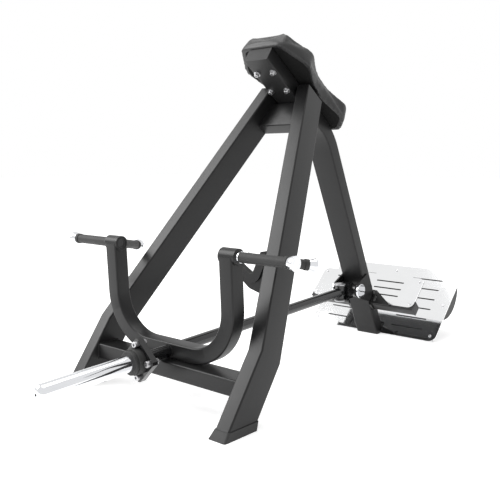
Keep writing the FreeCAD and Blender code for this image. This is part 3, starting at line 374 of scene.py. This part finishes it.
FINISHES: dict[Slot, Finish] = {
    Slot.FRAME: PaintFinish(dark=(0.008, 0.008, 0.0083), light=(0.014, 0.014, 0.0143), rough=0.36,
                            rough_swing=0.08, peel=0.00006, coat=0.0, shine=0.30),
    Slot.LEVER: PaintFinish(dark=(0.006, 0.006, 0.0065), light=(0.010, 0.010, 0.0105), rough=0.20,
                            rough_swing=0.06, peel=0.00003, coat=0.3, shine=0.45),
    Slot.CHROME: MetalFinish(dark=(0.70, 0.71, 0.73), light=(0.80, 0.81, 0.83), rough=0.04,
                             rough_swing=0.06, stretch=(1.0, 0.05, 1.0), marks=0.00001),
    Slot.STAINLESS: MetalFinish(dark=(0.80, 0.805, 0.81), light=(0.87, 0.875, 0.88), rough=0.05,
                                rough_swing=0.05, stretch=(0.04, 1.0, 1.0), marks=0.00002),
    Slot.FASTENERS: MetalFinish(dark=(0.42, 0.42, 0.43), light=(0.60, 0.60, 0.61), rough=0.26,
                                rough_swing=0.16, stretch=EVEN, marks=0.00004),
    Slot.PINS: MetalFinish(dark=(0.30, 0.30, 0.31), light=(0.42, 0.42, 0.43), rough=0.24,
                           rough_swing=0.14, stretch=(0.1, 1.0, 1.0), marks=0.00003),
    Slot.BRONZE: MetalFinish(dark=(0.40, 0.24, 0.10), light=(0.56, 0.36, 0.16), rough=0.30,
                             rough_swing=0.14, stretch=EVEN, marks=0.00003),
    Slot.RUBBER: MouldedFinish(dark=(0.012, 0.012, 0.012), light=(0.022, 0.022, 0.022), rough=0.62,
                               grain=1500.0, depth=0.00018),
    Slot.PLASTIC: MouldedFinish(dark=(0.014, 0.014, 0.015), light=(0.024, 0.024, 0.025), rough=0.50,
                                grain=1100.0, depth=0.00012),
    Slot.UPHOLSTERY: VinylFinish(dark=(0.008, 0.008, 0.0083), light=(0.015, 0.015, 0.0153),
                                 rough=0.44, pebble=520.0),
    Slot.BOARD: ClothFinish(dark=(0.002, 0.002, 0.002), light=(0.006, 0.006, 0.006), threads=1400.0),
}


# ---- where things are ----

@dataclass(frozen=True)
class Layout:
    """Frames of the leaning legs and of the lever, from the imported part."""

    lean: float = math.radians(35.0)
    shoe_flare: float = 7.0 * MM

    @property
    def leg_front(self) -> float:
        """Returns Y of the legs' front faces at the floor."""
        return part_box("foot_cap_right")[0].y + self.shoe_flare

    @property
    def leaned(self) -> Matrix:
        """Returns the map from (x, back along the beam, up the leg) to the machine."""
        return Matrix.Translation((0.0, self.leg_front, 0.0)) @ Matrix.Rotation(-self.lean, 4, "X")

    @property
    def lever(self) -> Matrix:
        """Maps the lever's frame, with its bar along -Y, to the machine.

        Returns:
            The map.
        """
        lift, swing = frame["joints"]
        up = Vector(swing["axis"])
        return Matrix.Translation(lift["pos_m"]) @ Matrix.Rotation(math.atan2(-up.y, up.z), 4, "X")


LAYOUT = Layout()


def finished(name: str, mesh: bmesh.types.BMesh, smooth: bool = True) -> bpy.types.Object:
    """Makes a scene object from a bmesh and frees it.

    Args:
        name: the piece's name.
        mesh: the bmesh, in place in the row frame.
        smooth: whether its faces are shaded smooth.

    Returns:
        The object, at the origin.
    """
    bmesh.ops.recalc_face_normals(mesh, faces=mesh.faces)
    data = bpy.data.meshes.new(name)
    mesh.to_mesh(data)
    mesh.free()
    data.polygons.foreach_set("use_smooth", [smooth] * len(data.polygons))
    made = bpy.data.objects.new(name, data)
    bpy.context.scene.collection.objects.link(made)
    return made


# ---- carried-over nodes ----

@dataclass
class CarriedNodes:
    """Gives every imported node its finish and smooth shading."""

    materials: dict[Slot, bpy.types.Material]
    weld_gap: float = 0.01 * MM
    crease: float = math.radians(32.0)

    def build(self) -> None:
        """Dresses all nodes by the record's slots."""
        slots = {row["node"]: Slot(row["material_slot"]) for row in frame["record"]["subparts"]}
        for name, node in sorted(frame["nodes"].items()):
            self.dress(node, self.materials[slots[name]])
            LOG.info("node %s: %s", name, slots[name].value)

    def dress(self, node: bpy.types.Object, material: bpy.types.Material) -> None:
        """Sets one node's finish and its creases.

        Args:
            node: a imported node.
            material: its finish.
        """
        node.data.materials.clear()
        node.data.materials.append(material)
        node.data.polygons.foreach_set("use_smooth", [True] * len(node.data.polygons))
        weld = node.modifiers.new("joined", "WELD")
        weld.merge_threshold = self.weld_gap
        split = node.modifiers.new("creases", "EDGE_SPLIT")
        split.split_angle = self.crease


# ---- upholstery ----

@dataclass
class ChestPad:
    """The foam cushion, puffed by a short cloth simulation over its board."""

    material: bpy.types.Material
    merge: float = 0.00002
    cut_slack: float = 1e-7
    pocket_top: float = 12.2 * MM
    wall_drop: float = 11.7 * MM
    voxel: float = 6.0 * MM
    quick_voxel: float = 9.0 * MM
    pressure: float = 4.0
    stretch_stiffness: float = 40.0
    bend_stiffness: float = 2.0
    steps: int = 20
    reach: float = 7.0 * MM
    held_height: float = 9.0 * MM
    rounds: int = 2
    smoothing: float = 0.5
    free_from: float = 0.4
    fill: float = 0.8

    def build(self) -> bpy.types.Object:
        """Shapes, puffs and dresses the cushion.

        Returns:
            The finished cushion.
        """
        pad = self.start_shape()
        self.puff(pad)
        self.settle(pad)
        pad.data.materials.append(self.material)
        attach(pad, "frame")
        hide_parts("chest_pad")
        LOG.info("piece %s", pad.name)
        return pad

    def seat_height(self, point: Vector) -> float:
        """Returns how far a point is up the legs' slope."""
        return (LAYOUT.leaned.inverted() @ point).z

    def start_shape(self) -> bpy.types.Object:
        """Copies the plain cushion, closes its board pocket and meshes it evenly.

        Returns:
            The cushion before it is puffed.
        """
        mesh = bmesh.new()
        mesh.from_mesh(frame["nodes"]["chest_pad"].data)
        bmesh.ops.remove_doubles(mesh, verts=mesh.verts, dist=self.merge)
        mesh.transform(LAYOUT.leaned.inverted())
        self.close_pocket(mesh)
        mesh.transform(LAYOUT.leaned)
        pad = finished("chest_cushion", mesh)
        remesh = pad.modifiers.new("even", "REMESH")
        remesh.mode = "VOXEL"
        remesh.voxel_size = self.voxel
        self.apply(pad)
        return pad

    def close_pocket(self, mesh: bmesh.types.BMesh) -> None:
        """Cuts the board pocket away and draws the wall down over it.

        Args:
            mesh: the plain cushion, in the legs' frame.
        """
        seat = min(v.co.z for v in mesh.verts)
        bmesh.ops.bisect_plane(mesh, geom=mesh.verts[:] + mesh.edges[:] + mesh.faces[:],
                               plane_co=(0.0, 0.0, seat + self.pocket_top), plane_no=(0.0, 0.0, 1.0),
                               clear_inner=True, dist=self.cut_slack)
        bmesh.ops.recalc_face_normals(mesh, faces=mesh.faces)
        rim = [e for e in mesh.edges if e.is_boundary]
        wall = bmesh.ops.extrude_edge_only(mesh, edges=rim)["geom"]
        low = [v for v in wall if isinstance(v, bmesh.types.BMVert)]
        bmesh.ops.translate(mesh, verts=low, vec=(0.0, 0.0, -self.wall_drop))
        bmesh.ops.holes_fill(mesh, edges=[e for e in mesh.edges if e.is_boundary])
        bmesh.ops.triangulate(mesh, faces=mesh.faces)

    def apply(self, pad: bpy.types.Object) -> None:
        """Puts the modifiers' result in the mesh.

        Args:
            pad: the cushion.
        """
        graph = bpy.context.evaluated_depsgraph_get()
        data = bpy.data.meshes.new_from_object(pad.evaluated_get(graph))
        pad.modifiers.clear()
        pad.data = data

    def puff(self, pad: bpy.types.Object) -> None:
        """Runs the cloth under pressure, then caps how far each point moved.

        Args:
            pad: the cushion.
        """
        start = [v.co.copy() for v in pad.data.vertices]
        seat = min(self.seat_height(p) for p in start)
        held = pad.vertex_groups.new(name="held")
        for index, point in enumerate(start):
            height = self.seat_height(point) - seat
            if height < self.held_height:
                held.add([index], 1.0, "REPLACE")
        self.add_cloth(pad, held.name)
        for step in range(1, self.steps + 1):
            bpy.context.scene.frame_set(step)
        self.apply(pad)
        for vertex, was in zip(pad.data.vertices, start):
            move = vertex.co - was
            if move.length > self.reach:
                vertex.co = was + move.normalized() * self.reach
        bpy.context.scene.frame_set(1)

    def add_cloth(self, pad: bpy.types.Object, held: str) -> None:
        """Adds the cloth under pressure, without gravity.

        Args:
            pad: the cushion.
            held: vertex group that stays on the board.
        """
        cloth = pad.modifiers.new("foam", "CLOTH")
        cloth.settings.effector_weights.gravity = 0.0
        cloth.settings.use_pressure = True
        cloth.settings.uniform_pressure_force = self.pressure
        cloth.settings.vertex_group_mass = held
        cloth.settings.tension_stiffness = self.stretch_stiffness
        cloth.settings.compression_stiffness = self.stretch_stiffness
        cloth.settings.bending_stiffness = self.bend_stiffness
        cloth.point_cache.frame_start = 1
        cloth.point_cache.frame_end = self.steps

    def settle(self, pad: bpy.types.Object) -> None:
        """Evens the skin and rounds the rims.

        Args:
            pad: the cushion.
        """
        mesh = bmesh.new()
        mesh.from_mesh(pad.data)
        mesh.transform(LAYOUT.leaned.inverted())
        seat = min(v.co.z for v in mesh.verts)
        free = [v for v in mesh.verts if v.co.z > seat + self.held_height * self.free_from]
        for _ in range(self.rounds):
            bmesh.ops.smooth_vert(mesh, verts=free, factor=self.smoothing,
                                  use_axis_x=True, use_axis_y=True, use_axis_z=True)
        mesh.transform(LAYOUT.leaned)
        mesh.to_mesh(pad.data)
        mesh.free()
        pad.data.polygons.foreach_set("use_smooth", [True] * len(pad.data.polygons))
        finer = pad.modifiers.new("finer", "SUBSURF")
        finer.levels = finer.render_levels = 1


# ---- painted shade sheets under the slotted plates ----

@dataclass
class SlotShadeSheets:
    """Thin black sheets under the slotted plates: painted shade, which darkens the slots where shade falls under
    the plates.
    """

    material: bpy.types.Material
    tilt: float = math.radians(45.0)
    inset: float = 9.0 * MM
    thick: float = 0.8 * MM
    corner: float = 22.0 * MM
    corner_steps: int = 6
    in_line: float = 0.99

    def sheet(self, mesh: bmesh.types.BMesh, plate: str) -> None:
        """Adds the sheet behind one plate.

        Args:
            mesh: the sheets so far.
            plate: the plate's node.
        """
        flat = Matrix.Rotation(self.tilt, 4, "X")
        points = [flat.inverted() @ v.co for v in frame["nodes"][plate].data.vertices]
        low = Vector(tuple(min(p[i] for p in points) for i in range(3)))
        high = Vector(tuple(max(p[i] for p in points) for i in range(3)))
        size = high - low - Vector((2 * self.inset, 2 * self.inset, 0.0))
        middle = Vector(((low.x + high.x) / 2, (low.y + high.y) / 2, low.z - self.thick / 2))
        place = flat @ Matrix.Translation(middle) @ Matrix.Diagonal((size.x, size.y, self.thick, 1.0))
        made = bmesh.ops.create_cube(mesh, size=1.0, matrix=place)["verts"]
        across = flat.to_3x3() @ Vector((0.0, 0.0, 1.0))
        rims = [e for v in made for e in v.link_edges
                if abs((e.verts[0].co - e.verts[1].co).normalized().dot(across)) > self.in_line]
        bmesh.ops.bevel(mesh, geom=list(set(rims)), offset=self.corner, affect="EDGES",
                        segments=self.corner_steps, profile=0.5, material=-1)

    def build(self) -> bpy.types.Object:
        """Makes the sheets of both plates.

        Returns:
            The piece.
        """
        mesh = bmesh.new()
        self.sheet(mesh, "footplate")
        self.sheet(mesh, "step_plate")
        # These black sheets are painted shade: they stand in for the shade under the plates that shows through the
        # slots.
        piece = finished("slot_shade_sheets", mesh, smooth=False)
        piece.data.materials.append(self.material)
        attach(piece, "frame")
        LOG.info("piece %s", piece.name)
        return piece


# ---- welds ----

@dataclass
class WeldBeads:
    """Rows of small overlapping scales where tubes and plates are welded."""

    material: bpy.types.Material
    radius: float = 2.6 * MM
    pitch: float = 3.4 * MM
    flush: float = 0.01 * MM

    def scale(self, mesh: bmesh.types.BMesh, point: Vector) -> None:
        """Adds one scale at a point."""
        place = Matrix.Translation(point)
        bmesh.ops.create_icosphere(mesh, subdivisions=1, radius=self.radius, matrix=place)

    def run(self, mesh: bmesh.types.BMesh, place: Matrix, start: Vector, end: Vector) -> None:
        """Adds a straight bead.

        Args:
            mesh: the beads so far.
            place: frame of the two points.
            start: where it starts.
            end: where it ends.
        """
        count = max(2, round((end - start).length / self.pitch))
        for i in range(count + 1):
            self.scale(mesh, place @ start.lerp(end, i / count))

    def loop(self, mesh: bmesh.types.BMesh, place: Matrix, corners: list[Vector]) -> None:
        """Adds a closed bead through corners."""
        for here, following in zip(corners, corners[1:] + corners[:1]):
            self.run(mesh, place, here, following)

    def round(self, mesh: bmesh.types.BMesh, place: Matrix, centre: Vector, radius: float) -> None:
        """Adds a bead round a bar that lies along Y.

        Args:
            mesh: the beads so far.
            place: frame of the bar.
            centre: middle of the bead.
            radius: the bar's radius.
        """
        count = round(2 * math.pi * radius / self.pitch)
        for i in range(count):
            turn = 2 * math.pi * i / count
            self.scale(mesh, place @ (centre + Vector((math.cos(turn), 0.0, math.sin(turn))) * radius))

    def add(self, name: str, body: str, mesh: bmesh.types.BMesh) -> bpy.types.Object:
        """Finishes a set of beads.

        Args:
            name: the piece's name.
            body: what it rides on.
            mesh: the beads.

        Returns:
            The piece.
        """
        piece = finished(name, mesh)
        piece.data.materials.append(self.material)
        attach(piece, body)
        LOG.info("piece %s", name)
        return piece

    def build(self) -> None:
        """Makes the frame's and the lever's beads."""
        self.on_frame()
        self.on_lever()

    def on_frame(self) -> None:
        """Beads at the lower cross tube's ends and along the pivot's cheeks."""
        mesh = bmesh.new()
        low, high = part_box("lower_cross_tube")
        section = [(low.y, low.z), (high.y, low.z), (high.y, high.z), (low.y, high.z)]
        for x in (low.x, high.x):
            self.loop(mesh, Matrix.Identity(4), [Vector((x, y, z)) for y, z in section])
        for cheek in ("pivot_cheek_left", "pivot_cheek_right"):
            self.on_cheek(mesh, cheek)
        self.add("frame_welds", "frame", mesh)

    def on_cheek(self, mesh: bmesh.types.BMesh, cheek: str) -> None:
        """Adds a bead along a cheek's inner face, from its top to its rear.

        Args:
            mesh: the beads so far.
            cheek: the cheek's node.
        """
        low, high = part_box(cheek)
        inner = min((low.x, high.x), key=abs)
        points = [v.co.copy() for v in frame["nodes"][cheek].data.vertices]
        near = [p for p in points if abs(p.x - inner) < self.flush]
        top = max(near, key=lambda p: p.z)
        rear = max(near, key=lambda p: p.y)
        self.run(mesh, Matrix.Identity(4), top, rear)

    def on_lever(self) -> None:
        """Beads round the bar at both faces of the yoke and at the flange."""
        mesh = bmesh.new()
        place = LAYOUT.lever
        back = place.inverted()
        bar = [back @ Vector(v.co) for v in frame["nodes"]["lever_bar"].data.vertices]
        yoke = [back @ Vector(v.co) for v in frame["nodes"]["yoke"].data.vertices]
        radius = max(abs(p.x) for p in bar)
        flange = min(p.y for p in bar)
        for y in (min(p.y for p in yoke), max(p.y for p in yoke), flange):
            self.round(mesh, place, Vector((0.0, y, 0.0)), radius)
        self.add("lever_welds", "lever", mesh)


# ---- studio ----

@dataclass(frozen=True)
class Lamp:
    """A soft square lamp."""

    name: str
    place: Triple
    size: float
    power: float


@dataclass
class Studio:
    """Pale floor, white surround, soft lamps and the camera."""

    lamps: tuple[Lamp, ...] = (Lamp("key", (-3.4, -2.6, 3.6), 3.4, 230.0),
                               Lamp("top", (-0.4, 0.6, 4.4), 2.6, 60.0))
    aim: Triple = (0.0, 0.0, 0.5)
    floor_half: float = 30.0
    floor_dark: Triple = (0.90, 0.90, 0.90)
    floor_light: Triple = (0.92, 0.92, 0.92)
    fill: float = 0.55
    glow: float = 0.60
    eye: Triple = (1.5459, -1.8779, 0.7260)
    turn: float = math.radians(41.02)
    dip: float = math.radians(7.11)
    lens: float = 49.97
    sensor: float = 36.0

    def build(self) -> None:
        """Sets up everything round the machine."""
        self.floor()
        self.surround()
        for lamp in self.lamps:
            self.hang(lamp)
        self.camera()

    def floor(self) -> None:
        """Lays the floor sheet."""
        mesh = bmesh.new()
        bmesh.ops.create_grid(mesh, x_segments=1, y_segments=1, size=self.floor_half)
        sheet = finished("studio_floor", mesh, smooth=False)
        shop = Shader("studio_floor")
        paper = shop.noise(3.0, 2.0)
        sheet.data.materials.append(shop.dress(
            Base_Color=shop.blend(paper, self.floor_dark, self.floor_light),
            Roughness=0.9 + paper * 0.05, Emission_Color=WHITE, Emission_Strength=self.glow))

    def surround(self) -> None:
        """Shows the world pure white, but lets it light matt faces less."""
        world = bpy.data.worlds.new("studio")
        bpy.context.scene.world = world
        world.use_nodes = True
        tree = world.node_tree
        back = tree.nodes["Background"]
        diffuse = tree.nodes.new("ShaderNodeLightPath").outputs["Is Diffuse Ray"]
        strength = tree.nodes.new("ShaderNodeMapRange")
        strength.inputs["To Min"].default_value = 1.0
        strength.inputs["To Max"].default_value = self.fill
        tree.links.new(diffuse, strength.inputs["Value"])
        tree.links.new(strength.outputs["Result"], back.inputs["Strength"])
        back.inputs["Color"].default_value = (*WHITE, 1.0)
        bpy.context.scene.view_settings.view_transform = "Standard"

    def hang(self, lamp: Lamp) -> None:
        """Hangs a lamp, aimed at the machine.

        Args:
            lamp: the lamp.
        """
        data = bpy.data.lights.new(lamp.name, "AREA")
        data.size = lamp.size
        data.energy = lamp.power
        hung = bpy.data.objects.new(lamp.name, data)
        hung.location = lamp.place
        towards = Vector(self.aim) - Vector(lamp.place)
        hung.rotation_euler = towards.to_track_quat("-Z", "Y").to_euler()
        bpy.context.scene.collection.objects.link(hung)

    def camera(self) -> None:
        """Places the camera."""
        data = bpy.data.cameras.new("camera")
        data.lens = self.lens
        data.sensor_width = self.sensor
        camera = bpy.data.objects.new("camera", data)
        camera.location = self.eye
        camera.rotation_euler = (math.pi / 2 - self.dip, 0.0, self.turn)
        bpy.context.scene.collection.objects.link(camera)
        bpy.context.scene.camera = camera


def main() -> None:
    """Builds the looks in order."""
    logging.basicConfig(level=logging.INFO, format="%(name)s %(message)s")
    materials = {slot: finish.build(slot.value) for slot, finish in FINISHES.items()}
    CarriedNodes(materials).build()
    ChestPad(materials[Slot.UPHOLSTERY]).build()
    # Black sheets under the plates paint the shade seen through their slots.
    SlotShadeSheets(materials[Slot.PLASTIC]).build()
    WeldBeads(materials[Slot.FRAME]).build()
    Studio().build()


if __name__ == "__main__":
    main()
